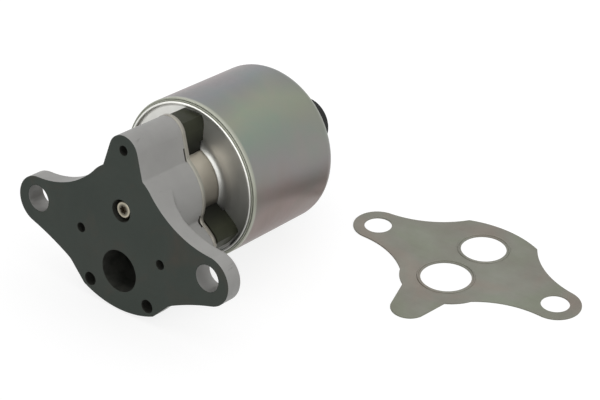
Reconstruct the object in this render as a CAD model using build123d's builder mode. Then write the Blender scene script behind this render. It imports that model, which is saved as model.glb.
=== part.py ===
from build123d import *
from dataclasses import dataclass
from math import acos, asin, atan2, cos, degrees, hypot, radians, sin, sqrt
import os

os.makedirs("parts", exist_ok=True)

# A solenoid exhaust gas valve, lying on its side as it would on a bench, with its loose flange gasket
# beside it. The valve's axis runs from the mounting face back to the plug end. Every height below is a
# distance from the mounting face along that axis. The origin is midway between the two mounting holes,
# on the mounting face: X runs from hole to hole, the lug side is up and the solenoid lies towards +Y.

# Mounting flange
bolt_spacing = 68.0        # between the two mounting holes
bolt_hole_r = 4.25         # clearance for an 8 mm stud
flange_t = 6.0
flange_edge_r = 1.0        # rounding of the flange's back edge
ear_r = 8.0
ear_drop = 0.8             # the ear's round end is centred below its hole
ear_top_angle = 88         # where the ear's round end runs into the hollow edges
ear_low_angle = -73
axis_up = 8.8              # height of the valve's axis above the line of the holes
foot_r = 33.4              # the flange's lower edge, about the valve's axis
foot_half = 14.1
foot_flank = 8.6           # straight stretch from the foot's end towards the ear
foot_flank_angle = 46
shoulder_angle = 44        # where the column's round meets the upper waist
shoulder_round = 8.0       # roundings of the outline's bends
foot_round = 1.5
knee_round = 4.0

# Casting above the flange
column_r = 14.7
post_angles = (90, -36.5, 216.5)
post_names = ("top", "right", "left")
lobe_r = 5.6               # round end of the top post, which the flange's lug carries
lobe_in = 0.85             # its centre, inside the circle of the screws
lobe_root_half = 7.8       # half the width of the top post where it leaves the column
side_post_r = 3.9          # half the width of a side post, which has parallel flanks and a round end
post_depth = 0.2           # how far a post's flanks run on inside the column, as a share of their length
relief_r = 2.2             # shallow relief under the sheet, in the corners between posts and column
relief_depth = 0.6
relief_out = 1.8           # the top post's reliefs lie this far outside the column
skirt_r = 3.0              # hollow blend between the column and the flange's back
skirt_run = 3.0            # and its taper to the flange's rounded edge
casting_top = 19.4
casting_corner_r = 1.0
chamber_r = 7.4            # gas chamber over the seat
chamber_floor = 4.4
chamber_top = 13.0
port_r = 6.8               # gas outlet
port_down = 11.6           # below the line of the holes
port_top = 13.0
bulge_r = 9.8              # wall over the outlet
bulge_top = 16.0
bulge_edge_r = 3.0
duct_r = 4.2               # passage from the chamber to the outlet
duct_height = 8.6
dowel_r = 2.2              # two blind locating holes
dowel_half = 11.6
dowel_down = 19.0
dowel_depth = 4.5

# Seat, pintle and its guide
inlet_r = 3.6
seat_r = 5.4
seat_floor = 2.0
seat_top = 5.6
seat_chamfer = 1.0
valve_gap = 0.12           # head above its seat, measured along the axis
nose_r = 2.75
nose_end = 0.9
nose_edge = 0.35
head_r = 4.6
head_rim = 0.9
back_cone_len = 2.0        # from the head's rim to the stem
stem_r = 2.0
stem_gap = 0.05            # running clearance of the stem in its guide
recess_r = 1.0             # six lobed key recess in the nose
recess_lobe_r = 0.34
recess_depth = 1.2
guide_r = 4.6
guide_top = 20.6
seal_r = 4.4
seal_t = 2.2
retainer_wall = 0.6
retainer_top_gap = 0.3
retainer_hole_gap = 0.2    # round the stem

# Heat shield, spacers and the housing's base plate
shield_t = 1.6
shield_overhang = 0.1
shield_corner_r = 1.8
shield_hole_r = 6.2
screw_in = 6.0             # circle of the screws, inside the can's outer side
screw_r = 2.0
screw_hole_r = 2.2
tap_r = 1.6                # the pilot drilling that shows on the mounting face
thread_end = 7.5
screw_head_r = 3.6
screw_head_t = 2.4
screw_key_r = 1.5
screw_key_depth = 1.4
screw_head_gap = 0.4       # round each head, in the pole and the bobbin
spacer_r = 4.5             # half the width of a spacer
spacer_len = 9.4
neck_in = 7.4              # outer side of the neck, inside the circle of the screws
neck_wall = 1.0
base_t = 1.6
base_land = 0.8            # width of the raised lip's flat top
base_lip_h = 1.0
base_lip_round = 0.3
collar_h = 1.0
collar_w = 0.3
collar_flare = 2.6         # width of the collar's hollow flank, which runs out into the plate

# Solenoid housing
can_r = 25.8
can_wall = 1.0
can_back = 70.5
can_corner_r = 4.0
can_shoulder = 10.8        # from the can's outer side to its hole for the cap
rim_step = 0.6             # the can's rolled edge lies this far behind the base plate's lip
rim_groove_w = 0.2
rim_groove_d = 0.6
rim_edge_r = 0.15          # both edges of the ring inside the groove
rim_drop = 0.25            # the rounded outer ring lies this far behind the inner one
fit_gap = 0.05             # between pieces that are pressed or seated together

# Magnet and armature
pole_disc_t = 2.0
sleeve_in_r = 7.8
sleeve_wall = 0.5
pole_hub_r = 10.5
pole_hub_len = 12.0
armature_gap = 0.1
armature_bottom = 38.0
armature_len = 20.0
armature_chamfer = 0.9
lift = 4.0                 # travel of the pintle
stop_gap = 0.5             # left between armature and upper pole at full lift
spring_pocket_r = 5.6
armature_pocket = 8.0
upper_disc_t = 3.4
bobbin_wall = 1.3
bobbin_flange_t = 1.8
bobbin_side_gap = 1.4      # between the bobbin's flanges and the can
coil_in = 1.8              # winding, inside the edge of the bobbin's flanges
coil_edge_r = 1.0
return_mean_r = 4.6
return_wire_r = 0.4
return_turns = 6
nut_across = 6.4
nut_t = 2.8
stem_above_nut = 0.7

# Position sensor and plug cap
rod_r = 1.4
rod_gap = 0.1
rod_rest_gap = 0.05        # between the rod's foot and the end of the pintle
cap_overlap = 2.0          # of the cap over the edge of the can's hole
cap_base_t = 5.0
cap_edge_r = 1.2
tower_r = 8.4
tower_top = 90.2
tower_wall = 1.5
tower_round = 1.0
carrier_half = 2.8
carrier_corner_r = 0.9
carrier_bottom = 75.0
carrier_t = 4.0
board_half = 4.2
board_t = 1.0
board_out = 4.6            # outer face of the board from the axis
board_bottom = 71.5
board_top = 86.5
sensor_mean_r = 2.3
sensor_wire_r = 0.25
sensor_turns = 5
seal_section_r = 0.8
plug_reach = 25.5          # mouth of the plug housing from the axis
plug_half = 8.0
plug_wall = 1.4
plug_low = 72.2
plug_high = 82.0
plug_floor = 13.5          # bottom of the socket from the axis
plug_round = 1.8
socket_round = 0.9
latch_w = 4.0
latch_h = 1.0
latch_len = 3.0
pin_count = 5
pin_pitch = 2.5
pin_w = 1.4
pin_t = 0.64
pin_tip = 19.5
pin_root = 5.6
pin_chamfer = 0.2
pin_clear = 0.05

# Loose gasket
gasket_t = 0.8
gasket_x = 67.1            # its middle, from the valve's origin
gasket_y = 84.3
gasket_turn = -0.9
gasket_ear_r = 8.1
gasket_ear_top_angle = 92
gasket_shoulder_angle = 26
gasket_foot_in = 0.9       # its lower edge, inside the flange's
gasket_hole_r = 4.45
gasket_inlet_r = 8.0
gasket_inlet_up = 9.7
gasket_port_r = 7.25
gasket_port_down = 10.7
gasket_shoulder_r = 15.4
gasket_lug_r = 6.1
gasket_lug_up = 30.3
gasket_lug_root_half = 8.0
bead_w = 0.8
bead_h = 0.2
bead_slope = 45
bead_off = 0.35            # from the hole's edge to the bead

# The valve leans back until the flange's lower back edge and the mouth of the plug share one floor
lean = atan2(foot_r - plug_reach, plug_high - flange_t)
along = Vector(0, cos(lean), -sin(lean))
upward = Vector(0, sin(lean), cos(lean))
flange_plane = Plane(origin=(0, 0, 0), x_dir=(-1, 0, 0), z_dir=along)
axis_plane = Plane(origin=upward * axis_up, x_dir=(-1, 0, 0), z_dir=along)
section = Plane(origin=upward * axis_up, x_dir=(-1, 0, 0), z_dir=upward * -1)
port_section = Plane(origin=upward * -port_down, x_dir=(-1, 0, 0), z_dir=upward * -1)
valve_axis = Axis(axis_plane.origin, along)
floor_z = (axis_up - foot_r) * cos(lean) - flange_t * sin(lean)

# Heights and radii that follow from the stack of pieces
shield_top = casting_top + shield_t
base_front = shield_top + spacer_len
base_back = base_front + base_t
lip_front = base_front - base_lip_h
rim_front = lip_front + rim_step
can_in_r = can_r - can_wall
can_hole_r = can_r - can_shoulder
cap_r = can_hole_r + cap_overlap
seal_ring_r = (can_hole_r + cap_r) / 2
base_lip_r = can_in_r - fit_gap - base_land
bobbin_flange_r = can_in_r - bobbin_side_gap
coil_r = bobbin_flange_r - coil_in
screw_circle_r = can_r - screw_in
neck_r = screw_circle_r - neck_in
lobe_centre = screw_circle_r - lobe_in
collar_foot_r = neck_r + fit_gap + collar_w + collar_flare
collar_r = (collar_flare**2 + collar_h**2) / (2 * collar_h)
lower_disc_top = base_back + pole_disc_t
upper_disc_bottom = can_back - can_wall - fit_gap - upper_disc_t
armature_top = armature_bottom + armature_len
upper_pole_face = armature_top + lift + stop_gap
nut_bottom = armature_top - armature_pocket
stem_end = nut_bottom + nut_t + stem_above_nut
cavity_top = tower_top - tower_wall
carrier_top = carrier_bottom + carrier_t

# Angle of each post, centre and radius of its round end, half its width where it leaves the column, and
# how far outside the column its reliefs lie
posts = (
    (post_angles[0], lobe_centre, lobe_r, lobe_root_half, relief_out),
    (post_angles[1], screw_circle_r, side_post_r, side_post_r, 0),
    (post_angles[2], screw_circle_r, side_post_r, side_post_r, 0),
)


def polar(radius, angle, centre_y=0.0):
    """A point at an angle about a centre on the Y axis of a sketch."""
    return (radius * cos(radians(angle)), centre_y + radius * sin(radians(angle)))


def touch_point(centre, radius, point, side):
    """Where a line from a point touches a circle, on its left (1) or right (-1) as seen from the centre."""
    offset = Vector(*point) - Vector(*centre)
    swing = side * degrees(acos(radius / offset.length))
    return Vector(*centre) + Vector(*polar(radius, degrees(atan2(offset.Y, offset.X)) + swing))


def round_top(inner, outer, height, radius):
    """The front of a raised ring, from its inner to its outer side, drawn into the open line."""
    RadiusArc((inner, height + radius), (inner + radius, height), -radius)
    Line((inner + radius, height), (outer - radius, height))
    RadiusArc((outer - radius, height), (outer, height + radius), -radius)


def turn(*outline, mode=Mode.ADD):
    """Turn a closed outline of (radius, height) points about the valve's axis."""
    with BuildSketch(section) as half:
        with BuildLine():
            Polyline(*outline, close=True)
        make_face()
    revolve(half.sketch, axis=valve_axis, mode=mode)


def ring(inner, outer, low, high, mode=Mode.ADD):
    """A plain ring, or a disc where inner is 0, between two heights."""
    turn((inner, low), (outer, low), (outer, high), (inner, high), mode=mode)


def drill(radius, low, high, plane=axis_plane, spots=((0, 0),)):
    """Cut round holes between two heights."""
    with BuildSketch(plane.offset(low)) as holes:
        with Locations(*spots):
            Circle(radius)
    extrude(holes.sketch, amount=high - low, mode=Mode.SUBTRACT)


def save(piece, name):
    """Label a finished piece and write it."""
    piece.part.label = name
    export_step(piece.part, f"parts/{name}.step")


@dataclass
class MountOutline:
    """Sizes of the outline that flange and gasket share, from the middle of the line of their holes."""

    ear_r: float
    ear_drop: float
    ear_top_angle: float
    lug_r: float
    lug_up: float
    root_half: float
    shoulder_r: float
    shoulder_angle: float
    foot_r: float

    def bends(self):
        """Bends on the +X side: root of the lug, shoulder, end of the foot, and knee above the foot."""
        root = Vector(self.root_half, axis_up + sqrt(self.shoulder_r**2 - self.root_half**2))
        shoulder = Vector(*polar(self.shoulder_r, self.shoulder_angle, axis_up))
        foot = Vector(*polar(self.foot_r, degrees(asin(foot_half / self.foot_r)) - 90, axis_up))
        knee = foot + Vector(*polar(foot_flank, foot_flank_angle))
        return root, shoulder, foot, knee

    def draw(self):
        """Draw the outline, with its lug along +Y, into the open line."""
        root, shoulder, foot, knee = self.bends()
        bolt_x = bolt_spacing / 2
        root_angle = degrees(atan2(root.Y - axis_up, root.X))
        ear_up = Vector(*polar(1, self.ear_top_angle))
        ear_down = Vector(*polar(1, ear_low_angle))
        ear_high = Vector(bolt_x, -self.ear_drop) + ear_up * self.ear_r
        ear_low = Vector(bolt_x, -self.ear_drop) + ear_down * self.ear_r
        flank = touch_point((0, self.lug_up), self.lug_r, root, 1)
        ThreePointArc((0, self.lug_up + self.lug_r), polar(self.lug_r, 45, self.lug_up), flank)
        Line(flank, root)
        shoulder_middle = polar(self.shoulder_r, (root_angle + self.shoulder_angle) / 2, axis_up)
        ThreePointArc(root, shoulder_middle, shoulder)
        TangentArc(ear_high, shoulder, tangent=(-ear_up.Y, ear_up.X))
        ThreePointArc(ear_high, (bolt_x + self.ear_r, -self.ear_drop), ear_low)
        TangentArc(ear_low, knee, tangent=(ear_down.Y, -ear_down.X))
        Line(knee, foot)
        foot_angle = degrees(asin(foot_half / self.foot_r))
        foot_middle = polar(self.foot_r, foot_angle / 2 - 90, axis_up)
        ThreePointArc(foot, foot_middle, (0, axis_up - self.foot_r))
        mirror(about=Plane.YZ)


flange_shape = MountOutline(
    ear_r=ear_r,
    ear_drop=ear_drop,
    ear_top_angle=ear_top_angle,
    lug_r=lobe_r,
    lug_up=axis_up + lobe_centre,
    root_half=lobe_root_half,
    shoulder_r=column_r,
    shoulder_angle=shoulder_angle,
    foot_r=foot_r,
)
gasket_shape = MountOutline(
    ear_r=gasket_ear_r,
    ear_drop=0,
    ear_top_angle=gasket_ear_top_angle,
    lug_r=gasket_lug_r,
    lug_up=gasket_lug_up,
    root_half=gasket_lug_root_half,
    shoulder_r=gasket_shoulder_r,
    shoulder_angle=gasket_shoulder_angle,
    foot_r=foot_r - gasket_foot_in,
)


def flange_face():
    """The flange's outline with its bends rounded, as one face."""
    with BuildSketch(flange_plane) as face:
        with BuildLine():
            flange_shape.draw()
        make_face()
        roundings = (casting_corner_r, shoulder_round, foot_round, knee_round)
        for spot, radius in zip(flange_shape.bends(), roundings):
            fillet([v for v in face.vertices() if (Vector(abs(v.X), v.Y) - spot).length < fit_gap], radius)
    return face.sketch


def lobed_face(plane, grow, corner):
    """The column's round outline with its three posts, as one face."""
    with BuildSketch(plane) as face:
        Circle(column_r + grow)
        for angle, centre, end_r, root_half, _ in posts:
            with PolarLocations(centre, 1, start_angle=angle):
                Circle(end_r + grow)
                root = Vector(sqrt(column_r**2 - root_half**2) - centre, root_half + grow)
                flank = touch_point((0, 0), end_r + grow, root, -1)
                inside = root + (root - flank) * post_depth
                right = [(p.X, -p.Y) for p in (flank, inside)]
                Polygon(flank, *right, inside, align=None)
        inner_corners = [
            v for v in face.vertices() if abs(hypot(v.X, v.Y) - column_r - grow) < fit_gap
        ]
        fillet(inner_corners, corner)
    return face.sketch


screw_spots = [polar(screw_circle_r, angle) for angle in post_angles]
relief_spots = [
    polar(column_r + out, angle + side * degrees(asin(root_half / (column_r + out))))
    for angle, _, _, root_half, out in posts
    for side in (-1, 1)
]

# Casting with the flange, the three posts and the gas passages
with BuildPart() as skirt:
    extrude(flange_face(), amount=flange_t + skirt_r)
    skirt_edge = (column_r + skirt_r + skirt_run, flange_t - flange_edge_r)
    skirt_foot = (column_r + skirt_r, flange_t)
    skirt_top = (column_r, flange_t + skirt_r)
    with BuildSketch(section):
        with BuildLine():
            Line(skirt_edge, skirt_foot)
            RadiusArc(skirt_foot, skirt_top, skirt_r)
            Polyline(skirt_top, (0, skirt_top[1]), (0, skirt_edge[1]), skirt_edge)
        make_face()
    revolve(axis=valve_axis, mode=Mode.INTERSECT)

with BuildPart() as base_casting:
    extrude(flange_face(), amount=flange_t)
    back_edges = base_casting.faces().sort_by(valve_axis)[-1].edges()
    fillet(back_edges, flange_edge_r)
    extrude(lobed_face(axis_plane, 0, casting_corner_r), amount=casting_top)
    add(skirt.part)
    with BuildSketch(port_section):
        with BuildLine():
            Polyline((0, bulge_top), (0, 0), (bulge_r, 0), (bulge_r, bulge_top - bulge_edge_r))
            RadiusArc((bulge_r, bulge_top - bulge_edge_r), (bulge_r - bulge_edge_r, bulge_top), -bulge_edge_r)
            Line((bulge_r - bulge_edge_r, bulge_top), (0, bulge_top))
        make_face()
    revolve(axis=Axis(port_section.origin, along))
    drill(bolt_hole_r, 0, flange_t, flange_plane, ((bolt_spacing / 2, 0), (-bolt_spacing / 2, 0)))
    drill(port_r, 0, port_top, flange_plane, ((0, -port_down),))
    drill(dowel_r, 0, dowel_depth, flange_plane, ((dowel_half, -dowel_down), (-dowel_half, -dowel_down)))
    drill(inlet_r, 0, seat_floor)
    drill(seat_r, seat_floor, chamber_floor)
    drill(chamber_r, chamber_floor, chamber_top)
    drill(guide_r, chamber_top, casting_top)
    drill(tap_r, 0, thread_end, spots=screw_spots)
    drill(screw_r, thread_end, casting_top, spots=screw_spots)
    drill(relief_r, casting_top - relief_depth, casting_top, spots=relief_spots)
    duct_start = axis_plane.from_local_coords((0, 0, duct_height))
    with BuildSketch(Plane(origin=duct_start, x_dir=(1, 0, 0), z_dir=upward * -1)):
        Circle(duct_r)
    extrude(amount=axis_up + port_down, mode=Mode.SUBTRACT)
save(base_casting, "base_casting")

# Hardened seat pressed into the casting from the chamber side
with BuildPart() as valve_seat:
    seat_corner = seat_top - seat_chamfer
    seat_in = inlet_r + seat_chamfer
    turn(
        (inlet_r, seat_floor),
        (seat_r, seat_floor),
        (seat_r, seat_top),
        (seat_in, seat_top),
        (inlet_r, seat_corner),
    )
save(valve_seat, "valve_seat")

# Pintle: nose with its key recess, conical head and long stem
with BuildPart() as pintle:
    cone_start = seat_top - seat_chamfer + valve_gap - (inlet_r - nose_r)
    cone_end = cone_start + head_r - nose_r
    back_cone = cone_end + head_rim + back_cone_len
    turn(
        (0, nose_end),
        (nose_r - nose_edge, nose_end),
        (nose_r, nose_end + nose_edge),
        (nose_r, cone_start),
        (head_r, cone_end),
        (head_r, cone_end + head_rim),
        (stem_r, back_cone),
        (stem_r, stem_end),
        (0, stem_end),
    )
    with BuildSketch(axis_plane.offset(nose_end)):
        Circle(recess_r)
        with PolarLocations(recess_r, 6):
            Circle(recess_lobe_r)
    extrude(amount=recess_depth, mode=Mode.SUBTRACT)
save(pintle, "pintle")

# Guide bush, seal and the seal's retainer
with BuildPart() as stem_guide:
    ring(stem_r + stem_gap, guide_r, chamber_top, guide_top)
save(stem_guide, "stem_guide")

neck_floor_top = shield_top + neck_wall
with BuildPart() as stem_seal:
    ring(stem_r + stem_gap, seal_r, neck_floor_top, neck_floor_top + seal_t)
save(stem_seal, "stem_seal")

with BuildPart() as seal_retainer:
    inside = seal_r + fit_gap
    outside = inside + retainer_wall
    under = neck_floor_top + seal_t + retainer_top_gap
    over = under + retainer_wall
    lip = outside + 2 * retainer_wall
    turn(
        (inside, neck_floor_top),
        (lip, neck_floor_top),
        (lip, neck_floor_top + retainer_wall),
        (outside, neck_floor_top + retainer_wall),
        (outside, over),
        (stem_r + retainer_hole_gap, over),
        (stem_r + retainer_hole_gap, under),
        (inside, under),
    )
save(seal_retainer, "seal_retainer")

# Lobed sheet on the posts
with BuildPart() as heat_shield:
    extrude(lobed_face(axis_plane.offset(casting_top), shield_overhang, shield_corner_r), amount=shield_t)
    drill(shield_hole_r, casting_top, shield_top)
    drill(screw_hole_r, casting_top, shield_top, spots=screw_spots)
save(heat_shield, "heat_shield")

# Spacers between the sheet and the base plate, one on each post, with a web that reaches the neck over
# the collar
for name, angle in zip(post_names, post_angles):
    with BuildPart() as spacer:
        with BuildSketch(axis_plane.offset(shield_top)):
            with PolarLocations(screw_circle_r, 1, start_angle=angle):
                Circle(spacer_r)
                Rectangle(screw_circle_r, 2 * spacer_r, align=(Align.MAX, Align.CENTER))
                Circle(screw_hole_r, mode=Mode.SUBTRACT)
            Circle(base_lip_r - base_lip_h - fit_gap, mode=Mode.INTERSECT)
            Circle(neck_r + fit_gap, mode=Mode.SUBTRACT)
        extrude(amount=spacer_len)
        ring(0, collar_foot_r + fit_gap, base_front - collar_h - fit_gap, base_front, mode=Mode.SUBTRACT)
    save(spacer, f"spacer_{name}")

# Three screws that hold the solenoid to the posts
with BuildPart() as housing_screws:
    with BuildSketch(axis_plane.offset(thread_end)):
        with Locations(*screw_spots):
            Circle(screw_r - fit_gap)
    extrude(amount=base_back - thread_end)
    with BuildSketch(axis_plane.offset(base_back)):
        with Locations(*screw_spots):
            Circle(screw_head_r)
    extrude(amount=screw_head_t)
    with BuildSketch(axis_plane.offset(base_back + screw_head_t)):
        with Locations(*screw_spots):
            RegularPolygon(screw_key_r, 6)
    extrude(amount=-screw_key_depth, mode=Mode.SUBTRACT)
save(housing_screws, "housing_screws")

# Neck between the casting and the solenoid, a cup with the stem's hole in its floor
with BuildPart() as neck_tube:
    turn(
        (seal_r - retainer_wall, shield_top),
        (neck_r, shield_top),
        (neck_r, base_back),
        (neck_r - neck_wall, base_back),
        (neck_r - neck_wall, neck_floor_top),
        (seal_r - retainer_wall, neck_floor_top),
    )
save(neck_tube, "neck_tube")

# Dished base plate with a flared collar round the neck and a raised lip at its edge
with BuildPart() as base_plate:
    hole = neck_r + fit_gap
    collar_top = (hole + collar_w, base_front - collar_h)
    collar_foot = (collar_foot_r, base_front)
    lip_arc_r = base_lip_h - base_lip_round
    lip_foot = (base_lip_r - lip_arc_r, base_front)
    with BuildSketch(section):
        with BuildLine():
            Line((hole, collar_top[1]), collar_top)
            RadiusArc(collar_top, collar_foot, collar_r)
            Line(collar_foot, lip_foot)
            RadiusArc(lip_foot, (base_lip_r, lip_front + base_lip_round), lip_arc_r)
            round_top(base_lip_r, can_in_r - fit_gap, lip_front, base_lip_round)
            Polyline(
                (can_in_r - fit_gap, lip_front + base_lip_round),
                (can_in_r - fit_gap, base_back),
                (hole, base_back),
                (hole, collar_top[1]),
            )
        make_face()
    revolve(axis=valve_axis)
    drill(screw_hole_r, base_front, base_back, spots=screw_spots)
save(base_plate, "base_plate")

# Drawn can, its mouth rolled with a groove, its back rounded and pierced for the cap
with BuildPart() as can:
    with BuildSketch(section):
        with BuildLine():
            ring_w = (can_wall - rim_groove_w) / 2
            groove = can_in_r + ring_w
            outer_ring = (can_r - ring_w, rim_front + rim_drop)
            round_top(can_in_r, groove, rim_front, rim_edge_r)
            Polyline(
                (groove, rim_front + rim_edge_r),
                (groove, rim_front + rim_groove_d),
                (can_r - ring_w, rim_front + rim_groove_d),
                outer_ring,
            )
            RadiusArc(outer_ring, (can_r, outer_ring[1] + ring_w), -ring_w)
            Line((can_r, outer_ring[1] + ring_w), (can_r, can_back - can_corner_r))
            RadiusArc((can_r, can_back - can_corner_r), (can_r - can_corner_r, can_back), -can_corner_r)
            inner_start = (can_r - can_corner_r, can_back - can_wall)
            inner_end = (can_in_r, can_back - can_corner_r)
            Polyline(
                (can_r - can_corner_r, can_back),
                (can_hole_r, can_back),
                (can_hole_r, can_back - can_wall),
                inner_start,
            )
            RadiusArc(inner_start, inner_end, can_corner_r - can_wall)
            Line(inner_end, (can_in_r, rim_front + rim_edge_r))
        make_face()
    revolve(axis=valve_axis)
save(can, "can")

# Lower pole: disc and hub that carry the field to the armature
with BuildPart() as lower_pole:
    sleeve_out = sleeve_in_r + sleeve_wall
    hub_top = lower_disc_top + pole_hub_len
    turn(
        (neck_r - neck_wall - 2 * fit_gap, base_back + fit_gap),
        (can_in_r - fit_gap, base_back + fit_gap),
        (can_in_r - fit_gap, lower_disc_top),
        (pole_hub_r, lower_disc_top),
        (pole_hub_r, hub_top),
        (sleeve_out + fit_gap, hub_top),
        (sleeve_out + fit_gap, base_back + fit_gap),
    )
    drill(screw_head_r + screw_head_gap, base_back, lower_disc_top, spots=screw_spots)
save(lower_pole, "lower_pole")

# Thin tube that guides the armature and keeps it off both poles
with BuildPart() as pole_sleeve:
    ring(sleeve_in_r, sleeve_in_r + sleeve_wall, base_back + fit_gap, upper_disc_bottom)
save(pole_sleeve, "pole_sleeve")

# Upper pole: plug inside the sleeve, disc above the bobbin, spring pocket and rod bore
with BuildPart() as upper_pole:
    plug_outer = sleeve_in_r - fit_gap
    pocket_top = upper_disc_bottom
    turn(
        (rod_r + rod_gap, pocket_top),
        (spring_pocket_r, pocket_top),
        (spring_pocket_r, upper_pole_face),
        (plug_outer, upper_pole_face),
        (plug_outer, upper_disc_bottom),
        (can_in_r - fit_gap, upper_disc_bottom),
        (can_in_r - fit_gap, can_back - can_corner_r),
        (can_r - can_corner_r, upper_disc_bottom + upper_disc_t),
        (rod_r + rod_gap, upper_disc_bottom + upper_disc_t),
    )
save(upper_pole, "upper_pole")

# Armature with its spring pocket, and the nut that fixes it to the pintle
with BuildPart() as armature:
    rim_r = sleeve_in_r - armature_gap
    turn(
        (stem_r + fit_gap, armature_bottom),
        (rim_r - armature_chamfer, armature_bottom),
        (rim_r, armature_bottom + armature_chamfer),
        (rim_r, armature_top),
        (spring_pocket_r, armature_top),
        (spring_pocket_r, nut_bottom),
        (stem_r + fit_gap, nut_bottom),
    )
save(armature, "armature")

with BuildPart() as armature_nut:
    with BuildSketch(axis_plane.offset(nut_bottom)):
        RegularPolygon(nut_across / 2, 6, major_radius=False)
        Circle(stem_r + fit_gap, mode=Mode.SUBTRACT)
    extrude(amount=nut_t)
save(armature_nut, "armature_nut")

# Bobbin and its winding
bobbin_low = lower_disc_top + fit_gap
bobbin_high = upper_disc_bottom - fit_gap
bobbin_in = pole_hub_r + 2 * fit_gap
with BuildPart() as bobbin:
    ring(bobbin_in, bobbin_in + bobbin_wall, bobbin_low, bobbin_high)
    ring(bobbin_in, bobbin_flange_r, bobbin_low, bobbin_low + bobbin_flange_t)
    ring(bobbin_in, bobbin_flange_r, bobbin_high - bobbin_flange_t, bobbin_high)
    drill(screw_head_r + screw_head_gap, bobbin_low, base_back + screw_head_t + fit_gap, spots=screw_spots)
save(bobbin, "bobbin")

with BuildPart() as coil:
    low = bobbin_low + bobbin_flange_t + fit_gap
    high = bobbin_high - bobbin_flange_t - fit_gap
    ring(bobbin_in + bobbin_wall + fit_gap, coil_r, low, high)
    fillet(coil.edges().filter_by(GeomType.CIRCLE).group_by(SortBy.RADIUS)[-1], coil_edge_r)
save(coil, "coil")


def helix_spring(mean_r, wire_r, low, high, turns):
    """A round wire spring between two heights, clear of both seats by the fit gap."""
    bottom = low + wire_r + fit_gap
    height = high - low - 2 * (wire_r + fit_gap)
    start = axis_plane.from_local_coords((0, 0, bottom))
    coils = Helix(pitch=height / turns, height=height, radius=mean_r, center=start, direction=along)
    with BuildPart() as spring:
        with BuildSketch(Plane(origin=coils @ 0, z_dir=coils % 0)):
            Circle(wire_r)
        sweep(path=coils)
    return spring


return_spring = helix_spring(return_mean_r, return_wire_r, nut_bottom, upper_disc_bottom, return_turns)
save(return_spring, "return_spring")

# Sensor rod, and the carrier that holds its wipers
with BuildPart() as sensor_rod:
    ring(0, rod_r, stem_end + rod_rest_gap, carrier_bottom + carrier_t / 2)
save(sensor_rod, "sensor_rod")

with BuildPart() as wiper_carrier:
    with BuildSketch(axis_plane.offset(carrier_bottom)):
        RectangleRounded(2 * carrier_half, 2 * carrier_half, carrier_corner_r)
    extrude(amount=carrier_t)
    drill(rod_r, carrier_bottom, carrier_bottom + carrier_t / 2)
save(wiper_carrier, "wiper_carrier")

with BuildPart() as sensor_board:
    with BuildSketch(axis_plane.offset(board_bottom)):
        with Locations((0, -board_out + board_t / 2)):
            Rectangle(2 * board_half, board_t)
    extrude(amount=board_top - board_bottom)
save(sensor_board, "sensor_board")

sensor_spring = helix_spring(sensor_mean_r, sensor_wire_r, carrier_top, cavity_top, sensor_turns)
save(sensor_spring, "sensor_spring")

# Cap with the sensor's tower and the plug housing that points down to the floor
pin_columns = [(i - (pin_count - 1) / 2) * pin_pitch for i in range(pin_count)]
plug_mid = (plug_low + plug_high) / 2
mouth_plane = Plane(
    origin=axis_plane.from_local_coords((0, -plug_reach, plug_mid)), x_dir=(-1, 0, 0), z_dir=upward * -1
)
with BuildPart() as cap:
    spigot_bottom = can_back - can_wall
    turn(
        (0, spigot_bottom),
        (can_hole_r - fit_gap, spigot_bottom),
        (can_hole_r - fit_gap, can_back),
        (cap_r, can_back),
        (cap_r, can_back + cap_base_t - cap_edge_r),
        (cap_r - cap_edge_r, can_back + cap_base_t),
        (tower_r, can_back + cap_base_t),
        (tower_r, tower_top - tower_round),
        (tower_r - tower_round, tower_top),
        (0, tower_top),
    )
    with BuildSketch(mouth_plane):
        RectangleRounded(2 * plug_half, plug_high - plug_low, plug_round)
    extrude(amount=-(plug_reach - tower_r / 2))
    latch_out = -plug_reach + latch_len
    latch_start = axis_plane.origin + Vector(latch_w / 2, 0, 0)
    with BuildSketch(Plane(origin=latch_start, x_dir=upward, z_dir=(-1, 0, 0))):
        with BuildLine():
            Polyline(
                (latch_out, plug_high - fit_gap),
                (latch_out, plug_high + latch_h),
                (latch_out + latch_len, plug_high - fit_gap),
                close=True,
            )
        make_face()
    extrude(amount=latch_w)
    ring(0, tower_r - tower_wall, board_bottom, cavity_top, mode=Mode.SUBTRACT)
    ring(0, rod_r + 2 * rod_gap, spigot_bottom, board_bottom, mode=Mode.SUBTRACT)
    seal_in, seal_out = seal_ring_r - seal_section_r, seal_ring_r + seal_section_r
    ring(seal_in, seal_out, can_back, can_back + 2 * seal_section_r, mode=Mode.SUBTRACT)
    with BuildSketch(mouth_plane):
        RectangleRounded(2 * (plug_half - plug_wall), plug_high - plug_low - 2 * plug_wall, socket_round)
    extrude(amount=-(plug_reach - plug_floor), mode=Mode.SUBTRACT)
    with BuildSketch(mouth_plane):
        with Locations(*[(x, 0) for x in pin_columns]):
            Rectangle(pin_w + 2 * pin_clear, pin_t + 2 * pin_clear)
    extrude(amount=-(plug_reach - pin_root), mode=Mode.SUBTRACT)
save(cap, "cap")

with BuildPart() as cap_seal:
    with BuildSketch(section):
        with Locations((seal_ring_r, can_back + seal_section_r)):
            Circle(seal_section_r - fit_gap)
    revolve(axis=valve_axis)
save(cap_seal, "cap_seal")

for number, column in enumerate(pin_columns, start=1):
    with BuildPart() as terminal:
        with BuildSketch(mouth_plane.offset(pin_tip - plug_reach)):
            with Locations((column, 0)):
                Rectangle(pin_w, pin_t)
        extrude(amount=pin_root - pin_tip)
        tip_edges = terminal.faces().sort_by(Axis(mouth_plane.origin, upward))[0].edges()
        chamfer(tip_edges.filter_by(Axis.X), pin_chamfer)
    save(terminal, f"terminal_{number}")

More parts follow.
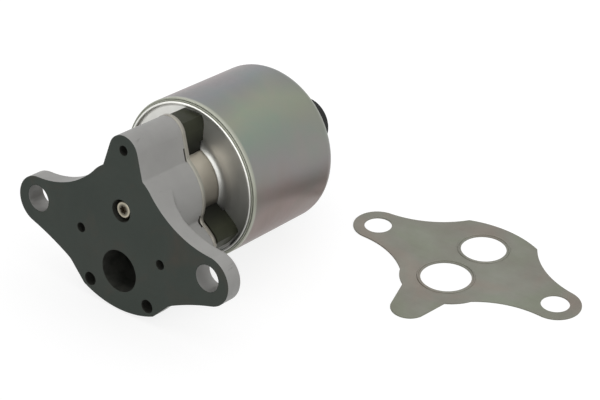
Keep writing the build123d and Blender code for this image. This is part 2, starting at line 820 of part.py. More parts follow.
# Loose gasket: thin sheet with a bead pressed round each gas hole, flat on the same floor
gasket_plane = Plane(
    origin=(gasket_x, gasket_y, floor_z), x_dir=(-cos(radians(gasket_turn)), -sin(radians(gasket_turn)), 0)
)
gas_holes = (((0, gasket_inlet_up), gasket_inlet_r), ((0, -gasket_port_down), gasket_port_r))
with BuildPart() as gasket:
    with BuildSketch(gasket_plane):
        with BuildLine():
            gasket_shape.draw()
        make_face()
        with Locations((bolt_spacing / 2, 0), (-bolt_spacing / 2, 0)):
            Circle(gasket_hole_r, mode=Mode.SUBTRACT)
    extrude(amount=gasket_t)
    for centre, radius in gas_holes:
        with BuildSketch(gasket_plane.offset(gasket_t)):
            with Locations(centre):
                Circle(radius + bead_off + bead_w)
        extrude(amount=bead_h, taper=bead_slope)
        with BuildSketch(gasket_plane.offset(gasket_t)):
            with Locations(centre):
                Circle(radius + bead_off)
        extrude(amount=bead_h, mode=Mode.SUBTRACT)
    for centre, radius in gas_holes:
        with BuildSketch(gasket_plane):
            with Locations(centre):
                Circle(radius)
        extrude(amount=gasket_t + bead_h, mode=Mode.SUBTRACT)
save(gasket, "gasket")
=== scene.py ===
from math import acos, atan2, cos, degrees, hypot, pi, radians, sin

import bmesh
import bpy
from mathutils import Matrix, Vector


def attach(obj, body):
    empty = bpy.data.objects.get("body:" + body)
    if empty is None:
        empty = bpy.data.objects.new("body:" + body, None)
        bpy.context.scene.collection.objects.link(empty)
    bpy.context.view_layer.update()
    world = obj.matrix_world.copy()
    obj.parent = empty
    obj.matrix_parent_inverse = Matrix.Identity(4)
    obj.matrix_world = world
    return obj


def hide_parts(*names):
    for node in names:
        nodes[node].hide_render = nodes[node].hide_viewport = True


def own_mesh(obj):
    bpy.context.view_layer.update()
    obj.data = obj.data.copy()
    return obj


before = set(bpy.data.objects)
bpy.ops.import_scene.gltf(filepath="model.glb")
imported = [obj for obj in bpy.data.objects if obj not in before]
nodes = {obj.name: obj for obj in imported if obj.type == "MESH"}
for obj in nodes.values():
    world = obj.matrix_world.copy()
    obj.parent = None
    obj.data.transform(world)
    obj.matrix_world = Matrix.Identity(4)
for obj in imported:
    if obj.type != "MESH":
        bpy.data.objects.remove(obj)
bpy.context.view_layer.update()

# Sizes below are in millimetres and the same as the part's. Heights are distances from the mounting
# face along the valve's axis. The valve's own frame has x to the left as seen on the mounting face,
# y towards the lug and z along the axis into the valve.
MM = 0.001
AXIS_UP = 8.8              # the valve's axis above the line of the two mounting holes
FOOT_R = 33.4              # the flange's lower edge, about the valve's axis
FLANGE_T = 6.0
PLUG_REACH = 25.5          # mouth of the plug housing from the axis
PLUG_HIGH = 82.0           # far end of the plug housing
LEAN = atan2(FOOT_R - PLUG_REACH, PLUG_HIGH - FLANGE_T)     # it lies on the flange and the plug
FLOOR_Z = (AXIS_UP - FOOT_R) * cos(LEAN) - FLANGE_T * sin(LEAN)
POST_ANGLES = (90, -36.5, 216.5)
SCREW_CIRCLE_R = 19.8
TAP_R = 1.6
TAP_DEPTH = 16
PORT_DOWN = 20.4           # gas outlet, below the valve's axis
PORT_R = 6.8
PORT_DEPTH = 13
DOWEL_HALF = 11.6          # two locating holes, from the middle and below the valve's axis
DOWEL_DOWN = 27.8
DOWEL_R = 2.2
DOWEL_DEPTH = 4.5
INLET_R = 3.6
INLET_DEPTH = 5.5
NOSE_END = 0.9             # the pintle's nose, behind the mounting face
RECESS_R = 1.4
RECESS_END = 3.0
RIM_BACK = 31.8            # behind this height the can's rolled edge and its painted highlight end
RIM_BLEND = 0.8
LIP_R = 23.6               # inner side of the base plate's lip
LIP_SHADE = 0.8            # width of the ring of painted shade inside it

upward = Vector((0, sin(LEAN), cos(LEAN)))
along = Vector((0, cos(LEAN), -sin(LEAN)))
left = Vector((-1, 0, 0))


def frame_at(origin, x_axis, y_axis, z_axis):
    """The 4x4 matrix of a frame, with its origin given in millimetres."""
    turned = Matrix((x_axis, y_axis, z_axis)).transposed().to_4x4()
    return Matrix.Translation(Vector(origin) * MM) @ turned


on_axis = frame_at(upward * AXIS_UP, left, upward, along)


# Camera, fitted to the photograph
CAMERA_AT = Vector((342.2, -348.8, 320.8))
CAMERA_AZIMUTH = 38.21
CAMERA_ELEVATION = 32.30
CAMERA_ROLL = 0.65
FOCAL_PIXELS = 1963.4
PHOTO_WIDTH = 600

azimuth, elevation = radians(CAMERA_AZIMUTH), radians(CAMERA_ELEVATION)
back = Vector((sin(azimuth) * cos(elevation), -cos(azimuth) * cos(elevation), sin(elevation)))
across = Vector((cos(azimuth), sin(azimuth), 0))
camera = bpy.data.objects.new("camera", bpy.data.cameras.new("camera"))
bpy.context.scene.collection.objects.link(camera)
camera.data.sensor_width = 36
camera.data.lens = camera.data.sensor_width * FOCAL_PIXELS / PHOTO_WIDTH
camera.data.clip_start, camera.data.clip_end = 0.02, 20
camera.matrix_world = frame_at(CAMERA_AT, across, back.cross(across), back) @ Matrix.Rotation(
    radians(CAMERA_ROLL), 4, "Z"
)
bpy.context.scene.camera = camera


# Shader helpers
def new_material(name, color, metallic, roughness, **sockets):
    """A material with a Principled shader whose plain values are set on its own sockets."""
    material = bpy.data.materials.new(name)
    material.use_nodes = True
    shader = material.node_tree.nodes["Principled BSDF"]
    shader.inputs["Base Color"].default_value = (*color, 1)
    shader.inputs["Metallic"].default_value = metallic
    shader.inputs["Roughness"].default_value = roughness
    for socket, value in sockets.items():
        shader.inputs[socket.replace("_", " ")].default_value = value
    return material


def add(material, kind, inputs=None, **settings):
    """A shader node with its settings and with links or values on its inputs."""
    node = material.node_tree.nodes.new("ShaderNode" + kind)
    for key, value in settings.items():
        setattr(node, key, value)
    for key, value in (inputs or {}).items():
        if isinstance(value, bpy.types.NodeSocket):
            material.node_tree.links.new(value, node.inputs[key])
        else:
            node.inputs[key].default_value = value
    return node


def link(material, source, socket):
    shader = material.node_tree.nodes["Principled BSDF"]
    material.node_tree.links.new(source, shader.inputs[socket])


def place(material, scale=(1, 1, 1), turn=(0, 0, 0)):
    """Object coordinates, stretched and turned."""
    coordinates = add(material, "TexCoord").outputs["Object"]
    return add(material, "Mapping", {"Vector": coordinates, "Scale": scale, "Rotation": turn}).outputs[0]


def about_axis(material):
    """Coordinates in the valve's own frame: X, the distance along its axis and the height over it."""
    turned = {
        "Vector": add(material, "TexCoord").outputs["Object"],
        "Rotation": (LEAN, 0, 0),
        "Location": (0, 0, -AXIS_UP * MM),
    }
    return add(material, "SeparateXYZ", {"Vector": add(material, "Mapping", turned).outputs[0]}).outputs


def axis_distance(material, spot):
    """How far a point is from the valve's axis, in metres."""
    flat = add(material, "CombineXYZ", {"X": spot[0], "Y": spot[2]}).outputs[0]
    return add(material, "VectorMath", {0: flat}, operation="LENGTH").outputs["Value"]


def band(material, value, low, high):
    """0 below one size and 1 above another, both in millimetres."""
    sizes = {"Value": value, "From Min": low * MM, "From Max": high * MM}
    return add(material, "MapRange", sizes).outputs[0]


def noise(material, vector, scale, detail=3, roughness=0.55, distortion=0.0):
    inputs = {
        "Vector": vector,
        "Scale": scale,
        "Detail": detail,
        "Roughness": roughness,
        "Distortion": distortion,
    }
    return add(material, "TexNoise", inputs).outputs["Fac"]


def ramp(material, factor, stops):
    """A colour ramp with (place, colour or grey) stops."""
    node = add(material, "ValToRGB", {"Fac": factor})
    elements = node.color_ramp.elements
    while len(elements) < len(stops):
        elements.new(0.5)
    for element, (position, color) in zip(elements, stops):
        element.position = position
        element.color = (*color, 1) if isinstance(color, tuple) else (color, color, color, 1)
    return node.outputs["Color"]


def spread(material, factor, low, high):
    """A 0 to 1 factor mapped to another range."""
    return add(material, "MapRange", {"Value": factor, "To Min": low, "To Max": high}).outputs[0]


def bump(material, height, distance, strength=1.0, normal=None):
    inputs = {"Height": height, "Distance": distance, "Strength": strength}
    if normal is not None:
        inputs["Normal"] = normal
    return add(material, "Bump", inputs).outputs["Normal"]


def mix(material, factor, first, second, blend="MIX"):
    """Two colours mixed; each is a link or a plain colour."""
    node = add(material, "Mix", data_type="RGBA", blend_type=blend)
    for socket, value in (("Factor_Float", factor), ("A_Color", first), ("B_Color", second)):
        entry = next(s for s in node.inputs if s.identifier == socket)
        if isinstance(value, bpy.types.NodeSocket):
            material.node_tree.links.new(value, entry)
        else:
            entry.default_value = value if isinstance(value, float) else (*value, 1)
    return next(s for s in node.outputs if s.identifier == "Result_Color")


# Finishes
def casting_side():
    """Satin cast and blasted iron, with a fine grain, faint blotches and a few dark scuffs."""
    material = new_material("casting_side", (0.28, 0.275, 0.265), 0.2, 0.5)
    at = place(material)
    blotch = noise(material, at, 55, 4)
    color = ramp(material, blotch, [(0.3, (0.255, 0.252, 0.243)), (0.7, (0.31, 0.306, 0.294))])
    streaks = noise(material, place(material, scale=(1, 0.35, 1)), 190, 5, 0.7)
    scuffs = ramp(material, streaks, [(0.30, 0.72), (0.38, 1.0)])
    link(material, mix(material, 1.0, color, scuffs, "MULTIPLY"), "Base Color")
    link(material, spread(material, noise(material, at, 260, 2), 0.42, 0.58), "Roughness")
    grain = bump(material, noise(material, at, 1900, 3), 0.00004, 0.5)
    link(material, bump(material, noise(material, at, 240, 2), 0.00015, 0.25, grain), "Normal")
    return material


def mounting_face():
    """The machined mounting face, painted dark with shade and a dark reflection, with faint milling
    arcs, a green cast and warm smears.
    """
    material = new_material("mounting_face", (0.05, 0.06, 0.055), 0.0, 0.55, Specular_IOR_Level=0.3)
    at = place(material)
    # Painted shade and dark reflection: these tones are far darker than the casting's sides
    tones = [(0.28, (0.020, 0.029, 0.022)), (0.5, (0.027, 0.036, 0.028)), (0.72, (0.034, 0.040, 0.032))]
    color = ramp(material, noise(material, at, 40, 4, 0.6), tones)
    smears = ramp(material, noise(material, at, 75, 3, 0.6, 0.6), [(0.55, 0.0), (0.75, 1.0)])
    color = mix(material, smears, color, (0.040, 0.038, 0.028))
    link(material, color, "Base Color")
    wave = {
        "Vector": place(material, turn=(LEAN, 0, 0)),
        "Scale": 420.0,
        "Distortion": 3.0,
        "Detail": 2.0,
        "Detail Scale": 0.4,
    }
    arcs = add(material, "TexWave", wave, wave_type="RINGS", rings_direction="SPHERICAL").outputs["Fac"]
    grain = bump(material, noise(material, at, 1500, 3), 0.00003, 0.5)
    link(material, bump(material, arcs, 0.00001, 0.3, grain), "Normal")
    link(material, spread(material, noise(material, at, 150, 3), 0.46, 0.64), "Roughness")
    return material


def painted_shade_bore():
    """Bore walls, painted dark for the shade inside them, with a mottled tone."""
    material = new_material("bore", (0.02, 0.022, 0.018), 0.2, 0.6, Specular_IOR_Level=0.25)
    at = place(material)
    bore_mottle = noise(material, at, 300, 4, 0.6)
    tones = [(0.3, (0.020, 0.021, 0.018)), (0.7, (0.055, 0.056, 0.048))]
    link(material, ramp(material, bore_mottle, tones), "Base Color")
    link(material, spread(material, bore_mottle, 0.5, 0.75), "Roughness")
    link(material, bump(material, noise(material, at, 1400, 2), 0.00005, 0.4), "Normal")
    return material


def zinc_plate():
    """Clear zinc plating: satin green-grey, with soft bands of pink and blue that lie along the can,
    painted shade at its top and lower side, and a painted highlight on its rolled edge.
    """
    material = new_material("zinc_plate", (0.24, 0.25, 0.23), 0.6, 0.36)
    at = place(material)
    spot = about_axis(material)
    drift = spread(material, noise(material, at, 24, 3, 0.5, 0.3), -0.12, 0.12)
    angle = add(material, "Math", {0: spot[0], 1: spot[2]}, operation="ARCTAN2")
    turn = {0: angle.outputs[0], 1: 1 / (2 * pi), 2: 0.5}
    turned = add(material, "Math", turn, operation="MULTIPLY_ADD")
    zone = add(material, "Math", {0: turned.outputs[0], 1: drift})
    # The plating's pink and blue bands, with painted shade in the darker stops at the can's top and
    # lower side
    tint_and_painted_shade = ramp(
        material,
        zone.outputs[0],
        [
            (0.06, (0.225, 0.248, 0.218)),
            (0.14, (0.240, 0.202, 0.188)),
            (0.22, (0.222, 0.226, 0.218)),
            (0.30, (0.215, 0.245, 0.212)),
            (0.38, (0.225, 0.232, 0.212)),
            (0.46, (0.172, 0.137, 0.140)),
            (0.50, (0.158, 0.150, 0.154)),
            (0.54, (0.154, 0.168, 0.172)),
            (0.61, (0.220, 0.238, 0.184)),
            (0.68, (0.206, 0.232, 0.200)),
            (0.72, (0.222, 0.214, 0.208)),
            (0.78, (0.228, 0.184, 0.166)),
            (0.84, (0.172, 0.122, 0.106)),
            (0.90, (0.190, 0.204, 0.178)),
        ],
    )
    patch = noise(material, at, 62, 3, 0.55, 0.5)
    patch = ramp(material, patch, [(0.35, (0.92, 1.02, 0.98)), (0.65, (1.06, 0.98, 1.0))])
    tint_and_painted_shade = mix(material, 0.8, tint_and_painted_shade, patch, "MULTIPLY")
    # A painted highlight on the can's rolled edge
    rim_painted_highlight = band(material, spot[1], RIM_BACK, RIM_BACK - RIM_BLEND)
    link(material, mix(material, rim_painted_highlight, tint_and_painted_shade, (0.35, 0.36, 0.30)), "Base Color")
    drawn = noise(material, place(material, scale=(1, 1, 0.06)), 900, 3, 0.6)
    link(material, spread(material, drawn, 0.31, 0.42), "Roughness")
    fine = bump(material, drawn, 0.00002, 0.35)
    link(material, bump(material, noise(material, at, 130, 2), 0.0003, 0.12, fine), "Normal")
    return material


def turned_steel(name, color, roughness, dark=0.8, metallic=1.0, anisotropic=0.0):
    """Steel with fine rings round the valve's axis, and slow changes in shade."""
    material = new_material(name, color, metallic, roughness, Anisotropic=anisotropic)
    spot = about_axis(material)
    rings = add(material, "CombineXYZ", {"X": axis_distance(material, spot), "Z": spot[1]}).outputs[0]
    ringed = noise(material, rings, 4200, 2, 0.7)
    low = tuple(c * dark for c in color)
    shade = ramp(material, noise(material, place(material), 70, 3), [(0.3, low), (0.7, color)])
    link(material, shade, "Base Color")
    link(material, spread(material, ringed, roughness * 0.85, roughness * 1.2), "Roughness")
    link(material, bump(material, ringed, 0.00001, 0.3), "Normal")
    if anisotropic:
        around = add(material, "Tangent", direction_type="RADIAL", axis="Y")
        link(material, around.outputs[0], "Tangent")
    return material


def toned(material, factor, stops):
    """Multiply a finish's colour by a ramp of tones."""
    shader = material.node_tree.nodes["Principled BSDF"]
    color = shader.inputs["Base Color"].links[0].from_socket
    link(material, mix(material, 1.0, color, ramp(material, factor, stops), "MULTIPLY"), "Base Color")
    return material


def shaded(material, value, low, high, stops):
    """Paint shade on a finish by a value, with the range and each stop in millimetres."""
    shares = [((spot - low) / (high - low), tone) for spot, tone in stops]
    return toned(material, band(material, value, low, high), shares)


TONE_REACH = 30            # the painted shade changes within this distance from the valve's axis


def painted_shade_by_distance(material, *stops):
    """Paint shade on a finish by its distance from the valve's axis."""
    return shaded(material, axis_distance(material, about_axis(material)), 0, TONE_REACH, stops)


def painted_light_by_height(material, *stops):
    """Paint light and shade on a finish by its height over the valve's axis: darker low, lighter high.
    """
    return shaded(material, about_axis(material)[2], -TONE_REACH, TONE_REACH, stops)


def rolled_sheet(name, color, roughness=0.42, metallic=0.7):
    """Rolled sheet steel: faint lines one way, and cloudy stains."""
    material = new_material(name, color, metallic, roughness)
    at = place(material)
    lines = noise(material, place(material, scale=(0.05, 1, 1)), 1800, 2, 0.6)
    cloud = noise(material, at, 60, 4, 0.6)
    warm = tuple(c * f for c, f in zip(color, (0.84, 0.80, 0.78)))
    cool = tuple(c * f for c, f in zip(color, (1.04, 1.06, 1.04)))
    link(material, ramp(material, cloud, [(0.3, warm), (0.7, cool)]), "Base Color")
    link(material, spread(material, lines, roughness * 0.85, roughness * 1.2), "Roughness")
    link(material, bump(material, lines, 0.00001, 0.25), "Normal")
    return material


def tarnished(material):
    """Faint green and pink clouds over a finish."""
    cloud = noise(material, place(material), 38, 3, 0.6, 0.4)
    stops = [(0.36, (0.93, 1.0, 0.90)), (0.5, (0.99, 0.99, 0.98)), (0.64, (1.07, 0.96, 0.95))]
    return toned(material, cloud, stops)


def moulded(name, color, roughness=0.42, specular=0.5):
    """Moulded plastic with a fine spark texture."""
    material = new_material(name, color, 0.0, roughness, Specular_IOR_Level=specular)
    at = place(material)
    low = tuple(c * 0.8 for c in color)
    high = tuple(c * 1.15 for c in color)
    link(material, ramp(material, noise(material, at, 90, 3), [(0.3, low), (0.7, high)]), "Base Color")
    sheen = noise(material, at, 700, 2)
    link(material, spread(material, sheen, roughness * 0.85, roughness * 1.2), "Roughness")
    link(material, bump(material, noise(material, at, 1600, 2), 0.00004, 0.35), "Normal")
    return material


finishes = {
    "base_casting": casting_side(),
    "mounting_face": mounting_face(),
    "bore": painted_shade_bore(),
    "can": zinc_plate(),
    # The base plate's painted shade, darker by the neck and in a ring inside its lip, and painted light,
    # lighter high and darker low
    "base_plate": painted_light_by_height(
        painted_shade_by_distance(
            turned_steel("base_plate", (0.95, 0.95, 0.90), 0.34, metallic=0.82, anisotropic=0.5),
            (14.5, 0.75),
            (17, 1.0),
            (LIP_R - LIP_SHADE, 0.9),
            (LIP_R, 1.0),
        ),
        (-12, 0.44),
        (0, 0.7),
        (12, 1.0),
    ),
    # Painted light and shade on the neck: darker low, lighter high
    "neck": painted_light_by_height(
        turned_steel("neck", (0.42, 0.385, 0.33), 0.34, metallic=0.85), (-6, 0.5), (4, 0.72), (10, 1.0)
    ),
    # Painted shade and dark reflection on the spacers: dark olive, nearly black towards the neck
    "spacer": painted_shade_by_distance(
        moulded("spacer", (0.032, 0.034, 0.021), 0.5, 0.12), (13, 0.15), (16, 0.4), (19.5, 1.0)
    ),
    "shield": rolled_sheet("shield", (0.28, 0.27, 0.24)),
    "gasket": tarnished(rolled_sheet("gasket", (0.20, 0.20, 0.172), 0.45, 0.5)),
    # Painted shade round the pintle's key recess: the nose darker towards its middle
    "pintle": painted_shade_by_distance(
        turned_steel("pintle", (0.50, 0.46, 0.36), 0.28, 0.6), (1.0, 0.15), (1.6, 0.35), (2.1, 1.0)
    ),
    # Painted shade in the pintle's key recess
    "recess": turned_steel("recess", (0.10, 0.075, 0.045), 0.5, metallic=0.4),
    "seat": turned_steel("seat", (0.06, 0.055, 0.045), 0.5, metallic=0.3),
    "bronze": turned_steel("bronze", (0.50, 0.33, 0.17), 0.35),
    "carbon": moulded("carbon", (0.02, 0.02, 0.02), 0.6, 0.3),
    "screw": turned_steel("screw", (0.20, 0.20, 0.19), 0.4),
    "soft_iron": turned_steel("soft_iron", (0.30, 0.30, 0.29), 0.35),
    "sleeve": turned_steel("sleeve", (0.52, 0.50, 0.45), 0.22),
    "bobbin": moulded("bobbin", (0.045, 0.04, 0.03), 0.5),
    "copper": turned_steel("copper", (0.55, 0.20, 0.08), 0.3),
    "spring": turned_steel("spring", (0.42, 0.42, 0.42), 0.3),
    "ivory": moulded("ivory", (0.62, 0.58, 0.48), 0.45),
    "ceramic": moulded("ceramic", (0.66, 0.65, 0.6), 0.35),
    "cap": moulded("cap", (0.010, 0.011, 0.010), 0.45, 0.2),
    "rubber": moulded("rubber", (0.015, 0.015, 0.015), 0.7, 0.3),
    "tin": turned_steel("tin", (0.58, 0.54, 0.42), 0.3),
}
worn_by = {
    "can": "can",
    "base_plate": "base_plate",
    "neck": "neck_tube",
    "spacer": "spacer_top spacer_right spacer_left",
    "shield": "heat_shield seal_retainer",
    "gasket": "gasket",
    "pintle": "pintle",
    "seat": "valve_seat",
    "bronze": "stem_guide",
    "carbon": "stem_seal",
    "screw": "housing_screws armature_nut",
    "soft_iron": "lower_pole upper_pole armature",
    "sleeve": "pole_sleeve",
    "bobbin": "bobbin",
    "copper": "coil",
    "spring": "return_spring sensor_spring",
    "ivory": "sensor_rod wiper_carrier",
    "ceramic": "sensor_board",
    "cap": "cap",
    "rubber": "cap_seal",
    "tin": "terminal_1 terminal_2 terminal_3 terminal_4 terminal_5",
}
for finish, names in worn_by.items():
    for name in names.split():
        nodes[name].material_slots[0].material = finishes[finish]

# The casting wears three finishes: its machined mounting face is painted dark with shade and reflection,
# its bores with shade
casting = nodes["base_casting"]
casting.material_slots[0].material = finishes["base_casting"]
casting.data.materials.append(finishes["mounting_face"])
casting.data.materials.append(finishes["bore"])
NEAR = 0.05                # a face this close to a wall or a plane lies on it
SQUARE_ON = 0.999          # cosine between a face's normal and the axis that it looks along
bores = [(0, 0, INLET_R, INLET_DEPTH), (0, -PORT_DOWN, PORT_R, PORT_DEPTH)]
bores += [(side * DOWEL_HALF, -DOWEL_DOWN, DOWEL_R, DOWEL_DEPTH) for side in (-1, 1)]
for angle in POST_ANGLES:
    spot = (SCREW_CIRCLE_R * cos(radians(angle)), SCREW_CIRCLE_R * sin(radians(angle)))
    bores.append((*spot, TAP_R, TAP_DEPTH))


def in_bore(spot):
    """Whether a spot in the valve's own frame lies on the wall or the end of a bore."""
    return any(
        spot.z < depth + NEAR and hypot(spot.x - x, spot.y - y) < radius + NEAR
        for x, y, radius, depth in bores
    )


to_valve = on_axis.inverted()
for face in casting.data.polygons:
    spot = (to_valve @ face.center) / MM
    if face.normal.dot(along) < -SQUARE_ON and abs(spot.z) < NEAR:
        face.material_index = 1
    elif in_bore(spot):
        face.material_index = 2

# The key recess in the pintle's nose is painted dark inside, for the shade in it
PAST_END = 0.02            # leaves out the nose's end face
pintle = nodes["pintle"]
pintle.data.materials.append(finishes["recess"])
for face in pintle.data.polygons:
    spot = (to_valve @ face.center) / MM
    if hypot(spot.x, spot.y) < RECESS_R and NOSE_END + PAST_END < spot.z < RECESS_END:
        face.material_index = 1


# Springs: round wire with a closed turn at each end.
WIRE_SIDES = 12
STEPS_A_TURN = 40
CLOSED_PITCH = 2.04        # of a closed turn, in wire radii
SEAT_GAP = 0.05            # between the wire and what it seats on


def spring(name, node, joint, mean_r, wire_r, low, high, turns):
    """A coil spring in place of its node, between two heights. The joint is not used."""
    bottom, top = low + wire_r + SEAT_GAP, high - wire_r - SEAT_GAP
    closed = CLOSED_PITCH * wire_r
    open_turns = turns - 2
    pitch = (top - bottom - 2 * closed) / open_turns
    tilt = atan2(pitch, 2 * pi * mean_r)
    points, faces = [], []
    steps = turns * STEPS_A_TURN
    for i in range(steps + 1):
        t = i / STEPS_A_TURN
        closed_share = min(t, 1) + max(t - turns + 1, 0)
        height = bottom + closed * closed_share + pitch * min(max(t - 1, 0), open_turns)
        rolled = Matrix.Rotation(2 * pi * t, 3, "Z")
        for j in range(WIRE_SIDES):
            angle = 2 * pi * j / WIRE_SIDES
            side = wire_r * sin(angle)
            spot = Vector((mean_r + wire_r * cos(angle), -side * sin(tilt), side * cos(tilt)))
            points.append(on_axis @ ((rolled @ spot + Vector((0, 0, height))) * MM))
    for i in range(steps):
        for j in range(WIRE_SIDES):
            k = (j + 1) % WIRE_SIDES
            here, there = i * WIRE_SIDES, (i + 1) * WIRE_SIDES
            faces.append((here + j, there + j, there + k, here + k))
    faces.append(tuple(range(WIRE_SIDES)))
    faces.append(tuple(reversed(range(steps * WIRE_SIDES, (steps + 1) * WIRE_SIDES))))
    mesh = bpy.data.meshes.new(name)
    mesh.from_pydata(points, [], faces)
    for face in mesh.polygons:
        face.use_smooth = len(face.vertices) == 4
    mesh.materials.append(finishes["spring"])
    piece = bpy.data.objects.new(name, mesh)
    bpy.context.scene.collection.objects.link(piece)
    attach(piece, "root")
    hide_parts(node)
    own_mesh(piece)


# Each node's joint, mean radius, wire radius, lower and upper end, and turns
springs = {
    "return_spring": ("pintle_lift", 4.6, 0.4, 50.0, 66.05, 8),
    "sensor_spring": ("sensor_slide", 2.3, 0.25, 79.0, 88.7, 7),
}
for node, sizes in springs.items():
    spring(f"{node}_wire", node, *sizes)


# Gasket sheet: thin steel with a low lip pressed up round each gas hole. Its outline is drawn from the
# middle between its bolt holes, with the lug along +Y; between foot and ear it is one hollow arc
GASKET_AT = (67.1, 84.3)   # the middle between its bolt holes, on the floor
GASKET_TURN = -0.9         # degrees
GASKET_T = 0.5
GASKET_EDGE = 0.12         # rounding of its edges
BOLT_X = 34.0
BOLT_HOLE_R = 4.45
EAR_R = 8.1
EAR_ANGLES = (92, -83)     # where an ear's own arc starts and ends
LUG_R = 5.8
LUG_ASIDE = -0.9           # the lug's middle along X
LUG_UP = 30.0
SHOULDER_R = 15.1          # beside the lug, about the valve's axis
SHOULDER_ANGLE = 26        # where the shoulder passes into the hollow above an ear
ROOT_HALF = 8.0            # half the width of the lug's root
GASKET_FOOT_R = 33.0       # about the valve's axis
FOOT_HALF = 13.2           # half the width of the foot
GAS_HOLES = ((9.7, 8.0), (-10.7, 7.25))     # place along Y, and radius
LIP_OFF = 0.55             # from the hole's edge to the lip
LIP_W = 0.7
LIP_H = 0.28
LIP_SINK = 0.02            # a lip's foot lies this deep in the sheet
LIP_STEPS = 8
ARC_STEP = 3               # degrees
SAME_POINT = 0.001


def heading(angle):
    return Vector((cos(radians(angle)), sin(radians(angle))))


def arc(centre, radius, start, end):
    """Points on an arc, from one angle to another."""
    count = max(2, round(abs(end - start) / ARC_STEP))
    angles = (start + (end - start) * i / count for i in range(count + 1))
    return [Vector(centre) + heading(angle) * radius for angle in angles]


def swing(start, end, tangent):
    """Points on the arc that leaves one point along a tangent and ends at another."""
    normal = Vector((-tangent.y, tangent.x))
    chord = end - start
    reach = chord.length_squared / (2 * chord.dot(normal))
    centre = start + normal * reach
    first, last = (atan2(spot.y, spot.x) for spot in (start - centre, end - centre))
    turn = (last - first + pi) % (2 * pi) - pi
    return arc(centre, abs(reach), degrees(first), degrees(first + turn))


def gasket_side(lug_x):
    """The outline's +X side, from the top of the lug to the middle of the foot."""
    middle = (0, AXIS_UP)
    shoulder = arc(middle, SHOULDER_R, degrees(acos(ROOT_HALF / SHOULDER_R)), SHOULDER_ANGLE)
    lug = Vector((lug_x, LUG_UP))
    away = shoulder[0] - lug
    lug_end = degrees(atan2(away.y, away.x) + acos(LUG_R / away.length))
    ear = arc((BOLT_X, 0), EAR_R, *EAR_ANGLES)
    foot = arc(middle, GASKET_FOOT_R, -degrees(acos(FOOT_HALF / GASKET_FOOT_R)), -90)
    upper = swing(ear[0], shoulder[-1], heading(EAR_ANGLES[0] + 90))[-2:0:-1]
    lower = swing(ear[-1], foot[0], heading(EAR_ANGLES[1] - 90))[1:-1]
    return arc(lug, LUG_R, 90, lug_end) + shoulder + upper + ear + lower + foot


def flat_sheet(name, loops, thickness, edge):
    """A mesh of a thin sheet on z = 0 with rounded edges. Its outline and holes are closed loops."""
    drawing = bpy.data.curves.new(name, "CURVE")
    drawing.dimensions = "2D"
    drawing.fill_mode = "BOTH"
    drawing.extrude = (thickness / 2 - edge) * MM
    drawing.bevel_depth = edge * MM
    drawing.bevel_resolution = 1
    drawing.offset = -edge * MM
    for loop in loops:
        line = drawing.splines.new("POLY")
        line.points.add(len(loop) - 1)
        for point, (x, y) in zip(line.points, loop):
            point.co = (x * MM, y * MM, 0, 1)
        line.use_cyclic_u = True
    shape = bpy.data.objects.new(name, drawing)
    bpy.context.scene.collection.objects.link(shape)
    mesh = bpy.data.meshes.new_from_object(shape)
    bpy.data.objects.remove(shape)
    mesh.transform(Matrix.Translation((0, 0, thickness / 2 * MM)))
    return mesh


def press_lip(shell, hole_y, hole_r):
    """A closed lip round a gas hole. Its profile is half a wave, and its foot lies in the sheet."""
    rows = []
    for i in range(LIP_STEPS + 1):
        circle = arc((0, hole_y), hole_r + LIP_OFF + LIP_W * i / LIP_STEPS, ARC_STEP, 360)
        height = GASKET_T - LIP_SINK + LIP_H * sin(pi * i / LIP_STEPS)
        rows.append([shell.verts.new((*(spot * MM), height * MM)) for spot in circle])
    for inner, outer in zip(rows, rows[1:] + rows[:1]):
        for i in range(len(inner)):
            k = (i + 1) % len(inner)
            shell.faces.new((inner[i], outer[i], outer[k], inner[k])).smooth = outer is not rows[0]


right_side, left_side = gasket_side(LUG_ASIDE), gasket_side(-LUG_ASIDE)
outline = right_side[:-1] + [Vector((-spot.x, spot.y)) for spot in reversed(left_side[1:])]
loops = [outline, *(arc((side * BOLT_X, 0), BOLT_HOLE_R, 360, ARC_STEP) for side in (-1, 1))]
loops += [arc((0, y), radius, 360, ARC_STEP) for y, radius in GAS_HOLES]
gasket_mesh = flat_sheet("gasket_sheet", loops, GASKET_T, GASKET_EDGE)
shell = bmesh.new()
shell.from_mesh(gasket_mesh)
for hole in GAS_HOLES:
    press_lip(shell, *hole)
bmesh.ops.remove_doubles(shell, verts=shell.verts, dist=SAME_POINT * MM)
shell.to_mesh(gasket_mesh)
shell.free()
turn = heading(GASKET_TURN)
hole_to_hole, to_lug = Vector((-turn.x, -turn.y, 0)), Vector((turn.y, -turn.x, 0))
gasket_mesh.transform(frame_at((*GASKET_AT, FLOOR_Z), hole_to_hole, to_lug, Vector((0, 0, 1))))
gasket_mesh.materials.clear()
gasket_mesh.materials.append(finishes["gasket"])
gasket = bpy.data.objects.new("gasket_sheet", gasket_mesh)
bpy.context.scene.collection.objects.link(gasket)
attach(gasket, "root")
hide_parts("gasket")


# The shield's sheared edges are broken. Its faces come as separate patches, so they are welded first
SEAM = 0.002
BROKEN_EDGE = 0.2
shield = nodes["heat_shield"]
weld = shield.modifiers.new("weld", "WELD")
weld.merge_threshold = SEAM * MM
edge = shield.modifiers.new("broken_edge", "BEVEL")
edge.width = BROKEN_EDGE * MM
edge.segments = 2
edge.limit_method = "ANGLE"
edge.angle_limit = radians(50)


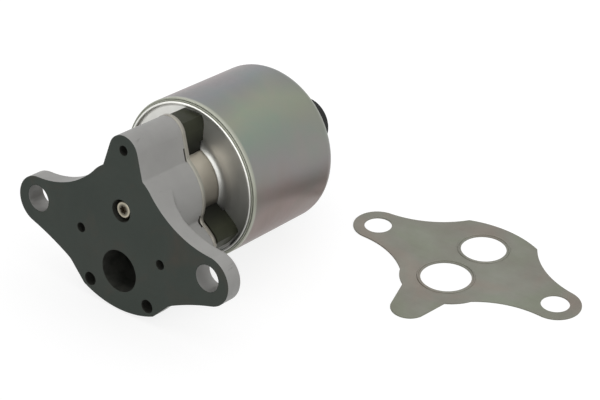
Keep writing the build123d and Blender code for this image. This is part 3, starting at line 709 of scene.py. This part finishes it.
# Floor and light
def shown_rays(tree):
    """1 for the rays that show the background: to the camera, in a reflection and through glass."""
    path = tree.nodes.new("ShaderNodeLightPath")
    shown = path.outputs["Is Camera Ray"]
    for name in ("Is Glossy Ray", "Is Transmission Ray"):
        either = tree.nodes.new("ShaderNodeMath")
        either.operation = "MAXIMUM"
        tree.links.new(shown, either.inputs[0])
        tree.links.new(path.outputs[name], either.inputs[1])
        shown = either.outputs[0]
    return shown


FLOOR_SIZE = 6             # in metres
FLOOR_GLOW = 0.8           # with the light that falls on FLOOR_SHADE, this shows as white
FLOOR_SHADE = 0.26
SHADOW_REACH = 0.5         # in metres; past it the floor glows white by itself


def show_white(material):
    """Let a floor show nearly white in the picture, with a faint shadow, and light nothing more."""
    tree = material.node_tree
    distance = add(material, "VectorMath", {0: place(material)}, operation="LENGTH").outputs["Value"]
    glow_range = {"Value": distance, "From Max": SHADOW_REACH, "To Min": FLOOR_GLOW, "To Max": 1.0}
    glow = add(material, "Emission", {"Strength": add(material, "MapRange", glow_range).outputs[0]})
    shade = add(material, "BsdfDiffuse", {"Color": (FLOOR_SHADE, FLOOR_SHADE, FLOOR_SHADE, 1)})
    seen = add(material, "AddShader", {0: glow.outputs[0], 1: shade.outputs[0]})
    choice = add(material, "MixShader", {0: shown_rays(tree), 2: seen.outputs[0]})
    tree.links.new(tree.nodes["Principled BSDF"].outputs[0], choice.inputs[1])
    tree.links.new(choice.outputs[0], tree.nodes["Material Output"].inputs["Surface"])


bpy.ops.mesh.primitive_plane_add(size=FLOOR_SIZE, location=(0, 0, FLOOR_Z * MM))
floor = bpy.context.active_object
floor.name = "floor"
floor_finish = new_material("floor", (0.82, 0.82, 0.82), 0.0, 0.9, Specular_IOR_Level=0.1)
floor.data.materials.append(floor_finish)
show_white(floor_finish)


def softbox(name, at, size, power, aim=(0, 30, 0)):
    """A square area lamp that looks at a point, in millimetres."""
    lamp = bpy.data.objects.new(name, bpy.data.lights.new(name, "AREA"))
    bpy.context.scene.collection.objects.link(lamp)
    lamp.data.size = size * MM
    lamp.data.energy = power
    lamp.location = Vector(at) * MM
    lamp.rotation_euler = (Vector(at) - Vector(aim)).to_track_quat("Z", "Y").to_euler()


softbox("lamp_top", (0, 150, 700), size=1000, power=2.8)
softbox("lamp_right", (650, 100, 350), size=700, power=1.5)
softbox("lamp_left", (-500, 300, 400), size=700, power=0.5)
softbox("lamp_front", (150, -700, 350), size=700, power=1.5)

world = bpy.data.worlds.new("studio")
bpy.context.scene.world = world
world.use_nodes = True
tree = world.node_tree
WORLD_LIGHT = 0.26
strength = tree.nodes.new("ShaderNodeMapRange")
strength.inputs["To Min"].default_value = WORLD_LIGHT
strength.inputs["To Max"].default_value = 1.0
tree.links.new(shown_rays(tree), strength.inputs["Value"])
tree.nodes["Background"].inputs["Color"].default_value = (1, 1, 1, 1)
tree.links.new(strength.outputs[0], tree.nodes["Background"].inputs["Strength"])
bpy.context.scene.view_settings.view_transform = "Standard"
